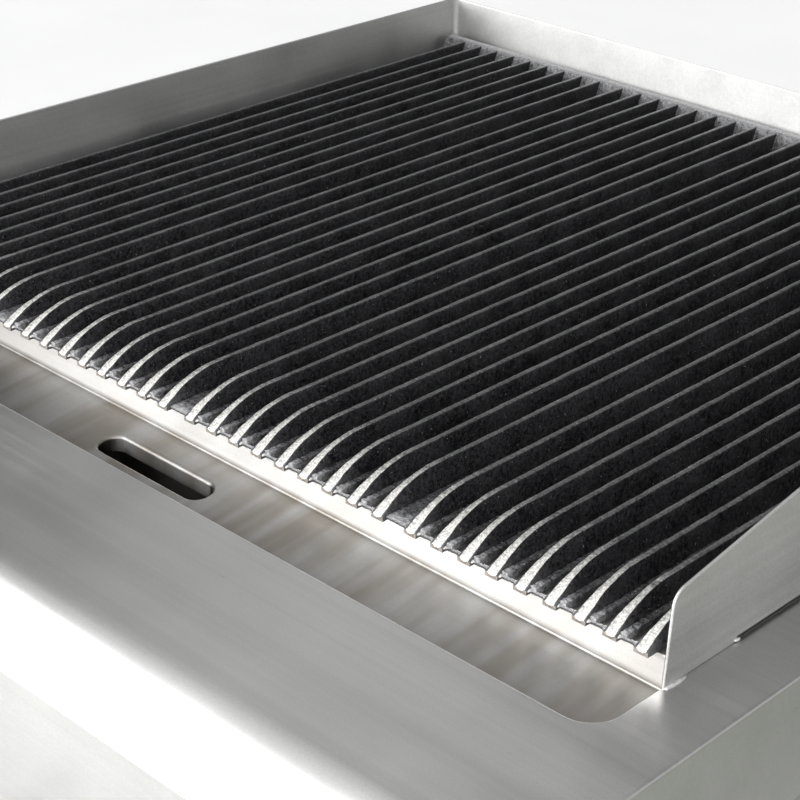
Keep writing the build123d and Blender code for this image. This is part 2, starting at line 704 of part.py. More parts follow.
def foot_sleeves():
    """Threaded leg blocks under the base."""
    parts = []
    for x, y in foot_places().values():
        sleeve = rod_z(x, y, SLEEVE_R, SLEEVE_Z, BODY_Z)
        sleeve = chamfer(sleeve.edges().group_by(Axis.Z)[0], 2.0)
        parts.append(sleeve - rod_z(x, y, SCREW_HOLE_R, SLEEVE_Z - 1, BODY_Z + 1))
    return Compound(children=parts)


def foot(x, y):
    """Adjustable foot: round pad with stem."""
    pad = rod_z(x, y, PAD_R, 0, PAD_HEIGHT)
    pad = fillet(pad.edges().group_by(Axis.Z)[0], 2.0)
    stem = rod_z(x, y, SCREW_R, PAD_HEIGHT - 0.5, BODY_Z + 10)
    return pad + stem


def screw_head(x, y, z, turn):
    """Pan head of a screw with a cross recess; it faces local +Z before the turn."""
    head = Cylinder(HEAD_R, HEAD_HEIGHT, align=(Align.CENTER, Align.CENTER, Align.MIN))
    head = fillet(head.edges().group_by(Axis.Z)[-1], 0.9)
    bar = Box(HEAD_R, 0.8, 1.2)
    recess = Pos(0, 0, 1.3) * (bar + Rot(0, 0, 90) * bar)
    return Pos(x, y, z) * turn * (head - recess)


def panel_screws():
    """Screws that hold the control panel to the stiles."""
    places = [(x, z) for x in (-288.5, 288.5) for z in (130, 222)]
    turn = Rot(90, 0, 0)
    return Compound(children=[screw_head(x, PANEL_Y, z, turn) for x, z in places])


def side_screws():
    """Screws along the lower edges of the side panels."""
    heads = []
    for side in (-1, 1):
        turn = Rot(0, 90 * side, 0)
        for y in (-225, 0, 262):
            heads.append(screw_head(side * (SIDE_X + SHEET), y, 58, turn))
    return Compound(children=heads)


def back_screws():
    """Screws round the back panel."""
    turn = Rot(-90, 0, 0)
    places = [(x, z) for x in (-286, 0, 286) for z in (56, 210)]
    return Compound(children=[screw_head(x, BACK_PANEL_Y + SHEET, z, turn) for x, z in places])


def build_nodes():
    """All nodes by name."""
    nodes = {
        "worktop": worktop(),
        "trough": trough(),
        "splash_guard": splash_guard(),
        "rear_rail": rear_rail(),
        "firebox_left": firebox_side(-1),
        "firebox_right": firebox_side(1),
        "firebox_front": firebox_front(),
        "firebox_back": firebox_back(),
        "radiant_left": radiant(-BURNER_X),
        "radiant_right": radiant(BURNER_X),
        "burner_left": burner(-BURNER_X),
        "burner_right": burner(BURNER_X),
        "burner_cradles": burner_cradles(),
        "injectors": injectors(),
        "electrodes": electrodes(),
        "gas_pipe": gas_pipe(),
        "gas_inlet": gas_inlet(),
        "gas_valve_left": gas_valve(-BURNER_X),
        "gas_valve_right": gas_valve(BURNER_X),
        "valve_stem_left": valve_stem(-BURNER_X),
        "valve_stem_right": valve_stem(BURNER_X),
        "knob_left": knob(-BURNER_X),
        "knob_right": knob(BURNER_X),
        "knob_bezels": bezels(),
        "igniter_body": igniter_body(),
        "igniter_button": igniter_button(),
        "drain_chute": drain_chute(),
        "drawer_pan": drawer_pan(),
        "drawer_front": drawer_front(),
        "drawer_handle": drawer_handle(),
        "drawer_rail_left": drawer_rail(-1),
        "drawer_rail_right": drawer_rail(1),
        "control_panel": control_panel(),
        "side_panel_left": side_panel(-1),
        "side_panel_right": side_panel(1),
        "back_panel": back_panel(),
        "base_pan": base_pan(),
        "foot_sleeves": foot_sleeves(),
        "panel_screws": panel_screws(),
        "side_screws": side_screws(),
        "back_screws": back_screws(),
    }
    casting = grate_casting()
    field_left = -GRATES * GRATE_PITCH / 2 + GRATE_GAP / 2
    for index in range(GRATES):
        nodes[f"grate_{index + 1}"] = Pos(field_left + index * GRATE_PITCH, 0, 0) * casting
    for name, (x, y) in foot_places().items():
        nodes[f"foot_{name}"] = foot(x, y)
    return nodes


os.makedirs("parts", exist_ok=True)
for name, shape in build_nodes().items():
    export_step(shape, f"parts/{name}.step")
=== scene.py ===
"""Looks of the countertop griddle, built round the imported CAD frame."""
import json
import math

import bmesh
import bpy
from mathutils import Matrix, Vector, noise


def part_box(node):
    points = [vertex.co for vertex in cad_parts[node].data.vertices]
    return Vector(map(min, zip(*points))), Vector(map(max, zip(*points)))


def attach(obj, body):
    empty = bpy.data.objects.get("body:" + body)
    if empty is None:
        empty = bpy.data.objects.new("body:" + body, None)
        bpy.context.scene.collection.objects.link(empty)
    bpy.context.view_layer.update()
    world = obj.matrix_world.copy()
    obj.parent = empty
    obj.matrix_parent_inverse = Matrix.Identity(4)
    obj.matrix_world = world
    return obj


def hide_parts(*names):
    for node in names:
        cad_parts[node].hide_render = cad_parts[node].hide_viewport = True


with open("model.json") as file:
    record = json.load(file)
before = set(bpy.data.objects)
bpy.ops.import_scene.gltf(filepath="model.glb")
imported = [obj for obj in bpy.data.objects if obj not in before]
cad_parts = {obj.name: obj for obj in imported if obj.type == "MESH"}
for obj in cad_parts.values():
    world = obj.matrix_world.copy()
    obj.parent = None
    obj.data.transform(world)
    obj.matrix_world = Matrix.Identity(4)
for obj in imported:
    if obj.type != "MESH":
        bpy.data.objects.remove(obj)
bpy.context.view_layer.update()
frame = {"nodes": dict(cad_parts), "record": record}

MM = 0.001

# ---- sizes that the grates are worked out from ----------------------------
RIBS = 9
RIB_PITCH = 14.28 * MM
FIRST_RIB = 15.28 * MM
RIB_TOP_WIDTH = 2.4 * MM
RIB_FOOT_WIDTH = 6.4 * MM
LIP_HEIGHT = 2.0 * MM
FLOOR_THICKNESS = 2.4 * MM
NOSE_LENGTH = 34.0 * MM
END_WALL = 6.4 * MM
END_WALL_LEAN = 6.6 * MM
SLOT_LIP = 3.5 * MM
RIDGE_WIDTH = 3.0 * MM
RIDGE_HEIGHT = 1.4 * MM
TIE_DEPTH = 5.0 * MM
TIE_WIDTH = 6.0 * MM
RIB_RISE = 4.0 * MM
TIP_SHARE = 0.24
TOOTH_HALF = 2.7 * MM
GRATE_LOW, GRATE_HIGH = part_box("grate_1")
TIE_SHARES = (0.33, 0.67)
NOSE_STEPS = 18
BODY_STEPS = 150
LIP_STEPS = 260
CAST_STEP = 1.2 * MM
FLANK_SHARES = (0.0, 0.12, 0.26, 0.42, 0.60, 0.80, 0.93)
RIB_START = 0.5 * MM

# ---- sizes of the steelwork, and how its skins are dressed ------------------
DRAIN_LOW, DRAIN_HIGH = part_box("drain_chute")
TROUGH_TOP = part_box("trough")[1][2]
TROUGH_FLOOR = TROUGH_TOP - 14.7 * MM
GUARD_LOW, GUARD_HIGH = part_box("splash_guard")
GUARD_SLOT_FRONT = 44.5 * MM
MERGE_DISTANCE = 1e-6
MERGE_ANGLE = math.radians(0.6)
CREASE_ANGLE = math.radians(28)
SHEET_EDGE = 0.35
WIDER_EDGES = {"worktop": 0.8, "trough": 0.4, "splash_guard": 0.6}
# the drain slot's rim: the box its edges lie in, and the width they are rolled to
RIMS = {"trough": ((DRAIN_LOW[0], DRAIN_LOW[1], TROUGH_TOP - 21 * MM),
                   (DRAIN_HIGH[0], DRAIN_HIGH[1], TROUGH_TOP - 14 * MM), 1.4)}


# ---- material helpers ------------------------------------------------------
class Shader:
    """A material being wired: thin wrapper round its node tree."""

    def __init__(self, name, **sockets):
        self.material = bpy.data.materials.new(name)
        self.material.use_nodes = True
        self.tree = self.material.node_tree
        self.bsdf = self.tree.nodes["Principled BSDF"]
        for socket, value in sockets.items():
            self.bsdf.inputs[socket.replace("_", " ")].default_value = value

    def node(self, kind, **settings):
        made = self.tree.nodes.new(kind)
        for key, value in settings.items():
            setattr(made, key, value)
        return made

    def link(self, source, target):
        self.tree.links.new(source, target)

    def place(self, scale=(1, 1, 1)):
        """Object coordinates in metres, stretched by scale."""
        coords = self.node("ShaderNodeTexCoord")
        mapping = self.node("ShaderNodeMapping")
        mapping.inputs["Scale"].default_value = scale
        self.link(coords.outputs["Object"], mapping.inputs["Vector"])
        return mapping.outputs["Vector"]

    def axis(self, name):
        """One object coordinate in metres."""
        split = self.node("ShaderNodeSeparateXYZ")
        self.link(self.place(), split.inputs["Vector"])
        return split.outputs[name]

    def noise(self, vector, scale, detail=3.0, rough=0.5):
        made = self.node("ShaderNodeTexNoise")
        made.inputs["Scale"].default_value = scale
        made.inputs["Detail"].default_value = detail
        made.inputs["Roughness"].default_value = rough
        self.link(vector, made.inputs["Vector"])
        return made.outputs["Fac"]

    def ramp(self, value, stops):
        """Colour ramp from (position, colour) stops."""
        made = self.node("ShaderNodeValToRGB")
        elements = made.color_ramp.elements
        while len(elements) < len(stops):
            elements.new(0.5)
        for element, (position, colour) in zip(elements, stops):
            element.position = position
            element.color = (*colour, 1)
        self.link(value, made.inputs["Fac"])
        return made.outputs["Color"]

    def span(self, value, low, high, start=0.0, end=1.0):
        """Maps a value from start..end to low..high."""
        made = self.node("ShaderNodeMapRange")
        limits = {"From Min": start, "From Max": end, "To Min": low, "To Max": high}
        for key, number in limits.items():
            made.inputs[key].default_value = number
        self.link(value, made.inputs["Value"])
        return made.outputs["Result"]

    def math(self, operation, first, second):
        made = self.node("ShaderNodeMath", operation=operation)
        for index, source in enumerate((first, second)):
            if isinstance(source, (int, float)):
                made.inputs[index].default_value = source
            else:
                self.link(source, made.inputs[index])
        return made.outputs["Value"]

    def blend(self, *shares):
        """Sum of (value, share) pairs."""
        total = None
        for value, share in shares:
            part = self.math("MULTIPLY", value, share)
            total = part if total is None else self.math("ADD", total, part)
        return total

    def mix(self, factor, first, second):
        """Mixes two colours; either may be a tuple or a socket."""
        made = self.node("ShaderNodeMix", data_type="RGBA")
        self.link(factor, made.inputs["Factor"])
        for name, source in (("A", first), ("B", second)):
            target = next(s for s in made.inputs if s.name == name and s.type == "RGBA")
            if isinstance(source, tuple):
                target.default_value = (*source, 1)
            else:
                self.link(source, target)
        return next(s for s in made.outputs if s.type == "RGBA")

    def bump(self, height, distance, under=None):
        made = self.node("ShaderNodeBump")
        made.inputs["Distance"].default_value = distance
        self.link(height, made.inputs["Height"])
        if under is not None:
            self.link(under, made.inputs["Normal"])
        return made.outputs["Normal"]


GREASE_SCALE = (75.0, 9.0, 9.0)
GREASE_BROWN = (0.66, 0.62, 0.57)


def brushed_steel(name, tint, roughness, brush="x", depth=0.0022, blotch=0.09,
                  anisotropy=0.55, haze=0.04, spread=None, shade_and_grease=None):
    """Stainless sheet with directional polishing lines, fine grain and faint handling marks.

    The lines run along brush, depth is theirs in millimetres, and reflections spread
    across them, or along spread. The last argument, shade_and_grease, is (low, high, share):
    below low the sheet is darkened to that share of its tint as painted shade, streaked with
    grease, and above high it is left as it is.
    """
    shader = Shader(name, Metallic=1.0, Anisotropic=anisotropy)
    along = 4.0
    across = 420.0
    scale = {"x": (along, across, across), "y": (across, along, across)}[brush]
    lines = shader.noise(shader.place(scale), 1.0, detail=3.0, rough=0.6)
    coarse_scale = tuple(0.16 * s if s > along else 0.5 * s for s in scale)
    coarse = shader.noise(shader.place(coarse_scale), 1.0, detail=2.0)
    cloud = shader.noise(shader.place(), 14.0, detail=3.0, rough=0.55)
    streak = shader.blend((lines, 0.55), (coarse, 0.45))
    grain = shader.noise(shader.place(), 1300.0, detail=1.0)
    tone = shader.blend((streak, 0.45), (grain, 0.30), (cloud, 0.25))
    dark = tuple(channel * (1 - 2 * blotch) for channel in tint)
    colour = shader.ramp(tone, [(0.34, dark), (0.66, tint)])
    # Painted shade: below low the sheet is darkened to share of its tint, streaked with grease;
    # above high it is untouched.
    if shade_and_grease:
        low, high, share = shade_and_grease
        unshaded = shader.span(shader.axis("Z"), 0.0, 1.0, low, high)
        runs = shader.noise(shader.place(GREASE_SCALE), 1.0, detail=2.0)
        smear = shader.span(runs, 0.0, 1.0, 0.36, 0.62)
        shaded_tone = shader.ramp(tone, [(0.34, tuple(share * c for c in dark)),
                                  (0.66, tuple(share * c for c in tint))])
        brown = tuple(share * c * fade for c, fade in zip(tint, GREASE_BROWN))
        colour = shader.mix(unshaded, shader.mix(smear, brown, shaded_tone), colour)
    shader.link(colour, shader.bsdf.inputs["Base Color"])
    polish = shader.span(streak, roughness - 0.03, roughness + 0.03, 0.3, 0.7)
    marks = shader.span(cloud, -haze, haze, 0.3, 0.7)
    shader.link(shader.math("ADD", polish, marks), shader.bsdf.inputs["Roughness"])
    shader.link(shader.bump(streak, depth * MM), shader.bsdf.inputs["Normal"])
    direction = shader.node("ShaderNodeCombineXYZ")
    across_lines = {"x": (0, 1, 1), "y": (1, 0, 1)}[brush]
    for axis, value in zip("XYZ", Vector(spread or across_lines).normalized()):
        direction.inputs[axis].default_value = value
    shader.link(direction.outputs["Vector"], shader.bsdf.inputs["Tangent"])
    return shader.material


def cast_iron(name, dark, light, roughness, grain, metallic, wear_sheen_tint, wear_sheen_from, wear_sheen_to,
              glint=0.45, both_ends=False, contrast=0.15):
    """Sand-cast iron: pitted grain, uneven colour and painted glints.

    Lightened at its front end to the wear_sheen_tint colour, partly wear and partly painted
    highlight where that end faces the light: fully up to wear_sheen_from millimetres from
    the end and not at all past wear_sheen_to. both_ends lightens the back end too, again as
    painted highlight. grain is the depth of its pits in millimetres, and glint how bright its
    painted glint flecks are.
    """
    shader = Shader(name, Metallic=metallic)
    shader.bsdf.inputs["Specular IOR Level"].default_value = 0.35
    place = shader.place()
    fine = shader.noise(place, 1150.0, detail=2.0, rough=0.6)
    pits = shader.noise(place, 480.0, detail=3.0, rough=0.6)
    patches = shader.noise(place, 55.0, detail=4.0, rough=0.6)
    tone = shader.blend((pits, 0.35), (patches, 0.25), (fine, 0.40))
    colour = shader.ramp(tone, [(0.51 - contrast, dark), (0.51 + contrast, light)])
    # Painted highlight, partly wear: towards the grate's front end (both ends with both_ends) the
    # colour is lightened to the pale tint.
    middle = (GRATE_LOW[1] + GRATE_HIGH[1]) / 2
    half = (GRATE_HIGH[1] - GRATE_LOW[1]) / 2
    offset = shader.math("SUBTRACT", middle, shader.axis("Y"))
    if both_ends:
        offset = shader.math("ABSOLUTE", offset, 0.0)
    ends = shader.span(offset, 0.0, 1.0, half - wear_sheen_to * MM, half - wear_sheen_from * MM)
    patchy = shader.math("ADD", pits, shader.math("MULTIPLY", ends, 0.8))
    speckle = shader.span(patchy, 0.0, 1.0, 0.75, 1.25)
    wear_and_sheen = shader.math("MULTIPLY", ends, speckle)
    pale = shader.ramp(fine, [(0.38, tuple(0.60 * c for c in wear_sheen_tint)), (0.60, wear_sheen_tint)])
    colour = shader.mix(wear_and_sheen, colour, pale)
    # Painted glints: sparse bright flecks mixed into the base colour.
    flecks = shader.noise(place, 1250.0, detail=1.0, rough=0.4)
    sparks = shader.span(flecks, 0.0, glint, 0.745, 0.80)
    colour = shader.mix(sparks, colour, (0.75, 0.75, 0.76))
    shader.link(colour, shader.bsdf.inputs["Base Color"])
    rough = shader.span(fine, roughness - 0.14, roughness + 0.14, 0.3, 0.7)
    shader.link(rough, shader.bsdf.inputs["Roughness"])
    pitted = shader.bump(pits, grain * MM)
    shader.link(shader.bump(fine, 0.6 * grain * MM, under=pitted), shader.bsdf.inputs["Normal"])
    return shader.material


def plain_metal(name, tint, roughness, scale=220.0, blotch=0.12):
    """Machined or drawn metal with a fine mottled finish."""
    shader = Shader(name, Metallic=1.0)
    spots = shader.noise(shader.place(), scale, detail=4.0)
    dark = tuple(channel * (1 - blotch) for channel in tint)
    shader.link(shader.ramp(spots, [(0.35, dark), (0.65, tint)]), shader.bsdf.inputs["Base Color"])
    polish = shader.span(spots, roughness - 0.06, roughness + 0.08, 0.3, 0.7)
    shader.link(polish, shader.bsdf.inputs["Roughness"])
    shader.link(shader.bump(spots, 0.01 * MM), shader.bsdf.inputs["Normal"])
    return shader.material


def moulded_plastic(name, tint, roughness, grain=0.03):
    """Moulded plastic, or glazed ceramic, with a fine grain."""
    shader = Shader(name)
    spots = shader.noise(shader.place(), 1500.0, detail=2.0)
    wear = shader.noise(shader.place(), 60.0, detail=3.0)
    lighter = tuple(min(1.0, channel * 1.6 + 0.004) for channel in tint)
    shader.link(shader.ramp(wear, [(0.4, tint), (0.75, lighter)]), shader.bsdf.inputs["Base Color"])
    polish = shader.span(wear, roughness - 0.05, roughness + 0.08, 0.3, 0.7)
    shader.link(polish, shader.bsdf.inputs["Roughness"])
    shader.link(shader.bump(spots, grain * MM), shader.bsdf.inputs["Normal"])
    return shader.material


materials = {
    "worktop_steel": brushed_steel("worktop_steel", (0.60, 0.60, 0.595), 0.33, "x"),
    # the trough floor is darkened with painted shade and grease streaks
    "trough_steel": brushed_steel("trough_steel", (0.64, 0.63, 0.615), 0.35, "x",
                                  depth=0.0003, anisotropy=0.86,
                                  shade_and_grease=(TROUGH_FLOOR + 0.5 * MM, TROUGH_FLOOR + 3 * MM, 0.50)),
    "guard_steel": brushed_steel("guard_steel", (0.72, 0.72, 0.712), 0.45, "y",
                                 blotch=0.13, anisotropy=0.75, haze=0.07, spread=(0, 0, 1)),
    "fire_steel": plain_metal("fire_steel", (0.20, 0.19, 0.18), 0.55, 40.0, 0.5),
    "burner_steel": plain_metal("burner_steel", (0.32, 0.29, 0.26), 0.45, 60.0, 0.4),
    "jet_brass": plain_metal("jet_brass", (0.72, 0.52, 0.22), 0.3),
    "valve_brass": plain_metal("valve_brass", (0.70, 0.52, 0.25), 0.38),
    "ceramic": moulded_plastic("ceramic", (0.80, 0.78, 0.72), 0.25, 0.004),
    "pipe_steel": plain_metal("pipe_steel", (0.48, 0.48, 0.48), 0.35),
    "knob_plastic": moulded_plastic("knob_plastic", (0.014, 0.014, 0.015), 0.42),
    "trim_chrome": plain_metal("trim_chrome", (0.75, 0.75, 0.76), 0.12, 90.0, 0.04),
    "button_plastic": moulded_plastic("button_plastic", (0.02, 0.02, 0.02), 0.25, 0.006),
    "inner_steel": brushed_steel("inner_steel", (0.52, 0.52, 0.51), 0.42, "y"),
    "drawer_steel": brushed_steel("drawer_steel", (0.58, 0.58, 0.57), 0.36, "y"),
    "panel_steel": brushed_steel("panel_steel", (0.43, 0.43, 0.42), 0.32, "x"),
    "side_steel": brushed_steel("side_steel", (0.50, 0.505, 0.485), 0.34, "y"),
    "handle_steel": plain_metal("handle_steel", (0.72, 0.72, 0.72), 0.16, 120.0, 0.05),
    "leg_steel": plain_metal("leg_steel", (0.50, 0.50, 0.50), 0.3),
    "screw_steel": plain_metal("screw_steel", (0.60, 0.60, 0.60), 0.25),
    "foot_plastic": moulded_plastic("foot_plastic", (0.025, 0.025, 0.026), 0.5),
    # These cast irons are lightened towards the grate's front end, lip_iron at both ends: partly
    # wear, partly painted highlight where noses, flanks and the end wall face the light.
    "grate_iron": cast_iron("grate_iron", (0.003, 0.003, 0.004), (0.044, 0.044, 0.047),
                            0.44, 0.22, 0.0, (0.11, 0.11, 0.115), 2, 24, contrast=0.10),
    "ground_iron": cast_iron("ground_iron", (0.045, 0.046, 0.048), (0.23, 0.23, 0.232),
                             0.46, 0.20, 0.7, (0.86, 0.85, 0.82), 8, 62, glint=0.9),
    "lip_iron": cast_iron("lip_iron", (0.010, 0.010, 0.011), (0.12, 0.12, 0.125),
                          0.62, 0.30, 0.0, (0.46, 0.46, 0.47), 2, 17, glint=0.7,
                          both_ends=True, contrast=0.10),
    "tip_iron": cast_iron("tip_iron", (0.07, 0.065, 0.06), (0.20, 0.185, 0.17),
                          0.55, 0.25, 0.3, (0.36, 0.33, 0.30), 4, 26, glint=0.8,
                          contrast=0.12),
    "weld_steel": plain_metal("weld_steel", (0.80, 0.80, 0.79), 0.36, 260.0, 0.10),
}


# ---- pieces made from CAD nodes --------------------------------------------
def dress(node, material, body, edge=SHEET_EDGE, rim=None):
    """A copy of a CAD node with flat faces merged and its edges softly rounded.

    rim, when given, is (low corner, high corner, width): edges whose middle lies
    in that box are rolled to the wider width.
    """
    source = frame["nodes"][node]
    mesh = bmesh.new()
    mesh.from_mesh(source.data)
    bmesh.ops.remove_doubles(mesh, verts=mesh.verts, dist=MERGE_DISTANCE)
    bmesh.ops.dissolve_limit(mesh, angle_limit=MERGE_ANGLE, verts=mesh.verts, edges=mesh.edges)
    if rim:
        low, high, width = rim
        weight = mesh.edges.layers.float.new("bevel_weight_edge")
        for line in mesh.edges:
            if len(line.link_faces) != 2 or line.calc_face_angle(0) < CREASE_ANGLE:
                continue
            middle = (line.verts[0].co + line.verts[1].co) / 2
            inside = all(low[i] <= middle[i] <= high[i] for i in range(3))
            line[weight] = 1.0 if inside else edge / width
    data = bpy.data.meshes.new(node + "_skin")
    mesh.to_mesh(data)
    mesh.free()
    piece = bpy.data.objects.new(node + "_skin", data)
    bpy.context.scene.collection.objects.link(piece)
    data.materials.clear()
    data.materials.append(materials[material])
    for polygon in data.polygons:
        polygon.use_smooth = True
        polygon.material_index = 0
    bevel = piece.modifiers.new("edges", "BEVEL")
    bevel.width = (rim[2] if rim else edge) * MM
    bevel.segments = 4 if rim else 2
    bevel.limit_method = "WEIGHT" if rim else "ANGLE"
    bevel.angle_limit = CREASE_ANGLE
    bevel.use_clamp_overlap = not rim
    level = piece.modifiers.new("level", "WEIGHTED_NORMAL")
    level.weight = 100
    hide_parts(node)
    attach(piece, body)


node_slot = {row["node"]: row["material_slot"] for row in frame["record"]["subparts"]}
node_body = {}
for body, members in frame["record"]["behaviour"]["bodies"].items():
    for member in members:
        node_body[member] = body

# ---- ribbed grates ---------------------------------------------------------
IRON, GROUND, LIP, TIP = 0, 1, 2, 3


def crown_height(distance, front, back, length):
    """Height of a rib's top line above its seat, at a distance behind the foot."""
    if distance >= NOSE_LENGTH:
        return front + (back - front) * (distance - NOSE_LENGTH) / (length - NOSE_LENGTH)
    drop = front - LIP_HEIGHT
    radius = (NOSE_LENGTH ** 2 + drop ** 2) / (2 * drop)
    away = NOSE_LENGTH - distance
    return front - radius + math.sqrt(radius ** 2 - away ** 2)


def flank(share):
    """Half width of a rib at a share of its height: 0 at the foot, 1 at the top."""
    foot = RIB_FOOT_WIDTH / 2
    top = RIB_TOP_WIDTH / 2
    return top + (foot - top) * (1 - share) ** 2.6


def rib_stations(length):
    """Distances behind the foot: close together on the nose, then even."""
    nose = [NOSE_LENGTH * (i / NOSE_STEPS) ** 1.2 for i in range(NOSE_STEPS + 1)]
    straight = length - NOSE_LENGTH
    rest = [NOSE_LENGTH + straight * i / BODY_STEPS for i in range(1, BODY_STEPS + 1)]
    return nose + rest


def wobble(x, y, z, size, amount):
    """Smooth uneven offset, the same every run."""
    return noise.noise(Vector((x, y, z)) * size) * amount


def add_rib(mesh, x, foot_y, seat, front, back, length, rib_length):
    """One rib swept from its foot to the end wall.

    Its crown is front high above the seat past the nose and back high at length behind
    the foot; the rib itself is rib_length long.
    """
    rows = []
    for distance in rib_stations(rib_length):
        top = crown_height(distance, front, back, length)
        y = foot_y + distance
        usable = top - LIP_HEIGHT
        reach = usable / (back - LIP_HEIGHT)
        line = [(-RIB_FOOT_WIDTH / 2, 0.0)]
        for share in FLANK_SHARES:
            line.append((-flank(share * reach), LIP_HEIGHT + share * usable))
        crest = flank(max(reach, TIP_SHARE))
        line.append((-crest + 0.10 * MM, top - 0.12 * MM))
        line.append((-crest + 0.35 * MM, top))
        half = line + [(0.0, top)]
        mirrored = [(-a, b) for a, b in reversed(line)]
        row = []
        for dx, dz in half + mirrored:
            rough = wobble(x + dx, y, dz, 420, 0.20 * MM)
            bend = wobble(x, y, 0, 90, 0.16 * MM)
            on_top = dz > top - 0.2 * MM
            lift = wobble(x * 1.7 + dx, y, dz, 330, 0.20 * MM) if on_top else 0.0
            z = seat + max(dz + min(lift, 0.0), 0.0)
            row.append(mesh.verts.new((x + dx + rough + bend, y, z)))
        rows.append(row)
    columns = len(rows[0])
    first_crown = len(FLANK_SHARES) + 1
    for near, far in zip(rows, rows[1:]):
        for index in range(columns - 1):
            face = mesh.faces.new((near[index], near[index + 1], far[index + 1], far[index]))
            on_crown = first_crown <= index < first_crown + 4
            face.material_index = GROUND if on_crown else IRON
            face.smooth = True
    cap = mesh.faces.new(tuple(reversed(rows[0])))
    cap.material_index = TIP


def add_prism(mesh, outline, x0, x1, material_index):
    """Closed prism along X from a (y, z) outline."""
    left = [mesh.verts.new((x0, y, z)) for y, z in outline]
    right = [mesh.verts.new((x1, y, z)) for y, z in outline]
    faces = [mesh.faces.new(tuple(reversed(left))), mesh.faces.new(tuple(right))]
    count = len(outline)
    for index in range(count):
        following = (index + 1) % count
        faces.append(mesh.faces.new((left[index], left[following], right[following], right[index])))
    for face in faces:
        face.material_index = material_index


def add_box(mesh, low, high, material_index):
    """Axis-aligned box."""
    outline = [(low[1], low[2]), (high[1], low[2]), (high[1], high[2]), (low[1], high[2])]
    add_prism(mesh, outline, low[0], high[0], material_index)


def add_rough_bar(mesh, x0, x1, y0, y1, z0, z1, columns, amount):
    """Bar along Y whose top is uneven, as cast."""
    steps = int((y1 - y0) / CAST_STEP)
    rows = []
    for step in range(steps + 1):
        y = y0 + (y1 - y0) * step / steps
        line = [(x0, z0)]
        for column in range(columns + 1):
            x = x0 + (x1 - x0) * column / columns
            sink = 0.35 * MM if column in (0, columns) else 0.0
            line.append((x, z1 - sink - abs(wobble(x, y, z1, 560, amount))))
        line.append((x1, z0))
        rows.append([mesh.verts.new((x, y, z)) for x, z in line])
    for near, far in zip(rows, rows[1:]):
        for index in range(len(near)):
            following = (index + 1) % len(near)
            face = mesh.faces.new((near[index], near[following], far[following], far[index]))
            face.material_index = LIP
    for end in (tuple(reversed(rows[0])), tuple(rows[-1])):
        mesh.faces.new(end).material_index = LIP


def recess(x, centres):
    """Shape of the front lip at x.

    The first value is how far it stands back: 0 at a rib's foot, 1 between two feet. The
    second rises from 0 in the middle of a tooth to 1 at its sides.
    """
    away = min(abs(x - centre) for centre in centres)
    past = min(max((away - TOOTH_HALF) / (2.2 * MM), 0.0), 1.0)
    return past * past * (3 - 2 * past), min(away / TOOTH_HALF, 1.0)


def add_lip(mesh, x0, x1, foot_y, seat, floor_z, centres):
    """Front lip: a rounded tooth below each rib, rough hollows between."""
    rows = []
    for step in range(LIP_STEPS + 1):
        x = x0 + (x1 - x0) * step / LIP_STEPS
        hollow, curve = recess(x, centres)
        shake = wobble(x, 0.3, 0.1, 420, 0.5 * MM)
        low = seat + 0.5 * MM * curve ** 2 + (0.7 * MM + 0.5 * abs(shake)) * hollow
        face_y = foot_y + 0.2 * MM + 0.7 * MM * curve ** 2 + (1.2 * MM + abs(shake)) * hollow
        top = floor_z - (0.5 * MM + 0.6 * abs(shake)) * hollow
        line = [
            (foot_y + SLOT_LIP, low), (foot_y + SLOT_LIP, top), (face_y + 1.2 * MM, top),
            (face_y + 0.4 * MM, top - 0.25 * MM), (face_y, top - 0.8 * MM),
            (face_y, low + 0.6 * MM), (face_y + 0.5 * MM, low),
        ]
        rows.append((hollow, [mesh.verts.new((x, y, z)) for y, z in line]))
    for (hollow, near), (_, far) in zip(rows, rows[1:]):
        for index in range(len(near)):
            following = (index + 1) % len(near)
            face = mesh.faces.new((near[index], far[index], far[following], near[following]))
            if hollow < 0.4 and index in (2, 3):
                face.material_index = GROUND
            elif hollow < 0.4 and index == 4:
                face.material_index = TIP
            else:
                face.material_index = LIP if index < 4 else IRON
            face.smooth = index in (2, 3, 4)
    for end in (tuple(rows[0][1]), tuple(reversed(rows[-1][1]))):
        mesh.faces.new(end).material_index = LIP


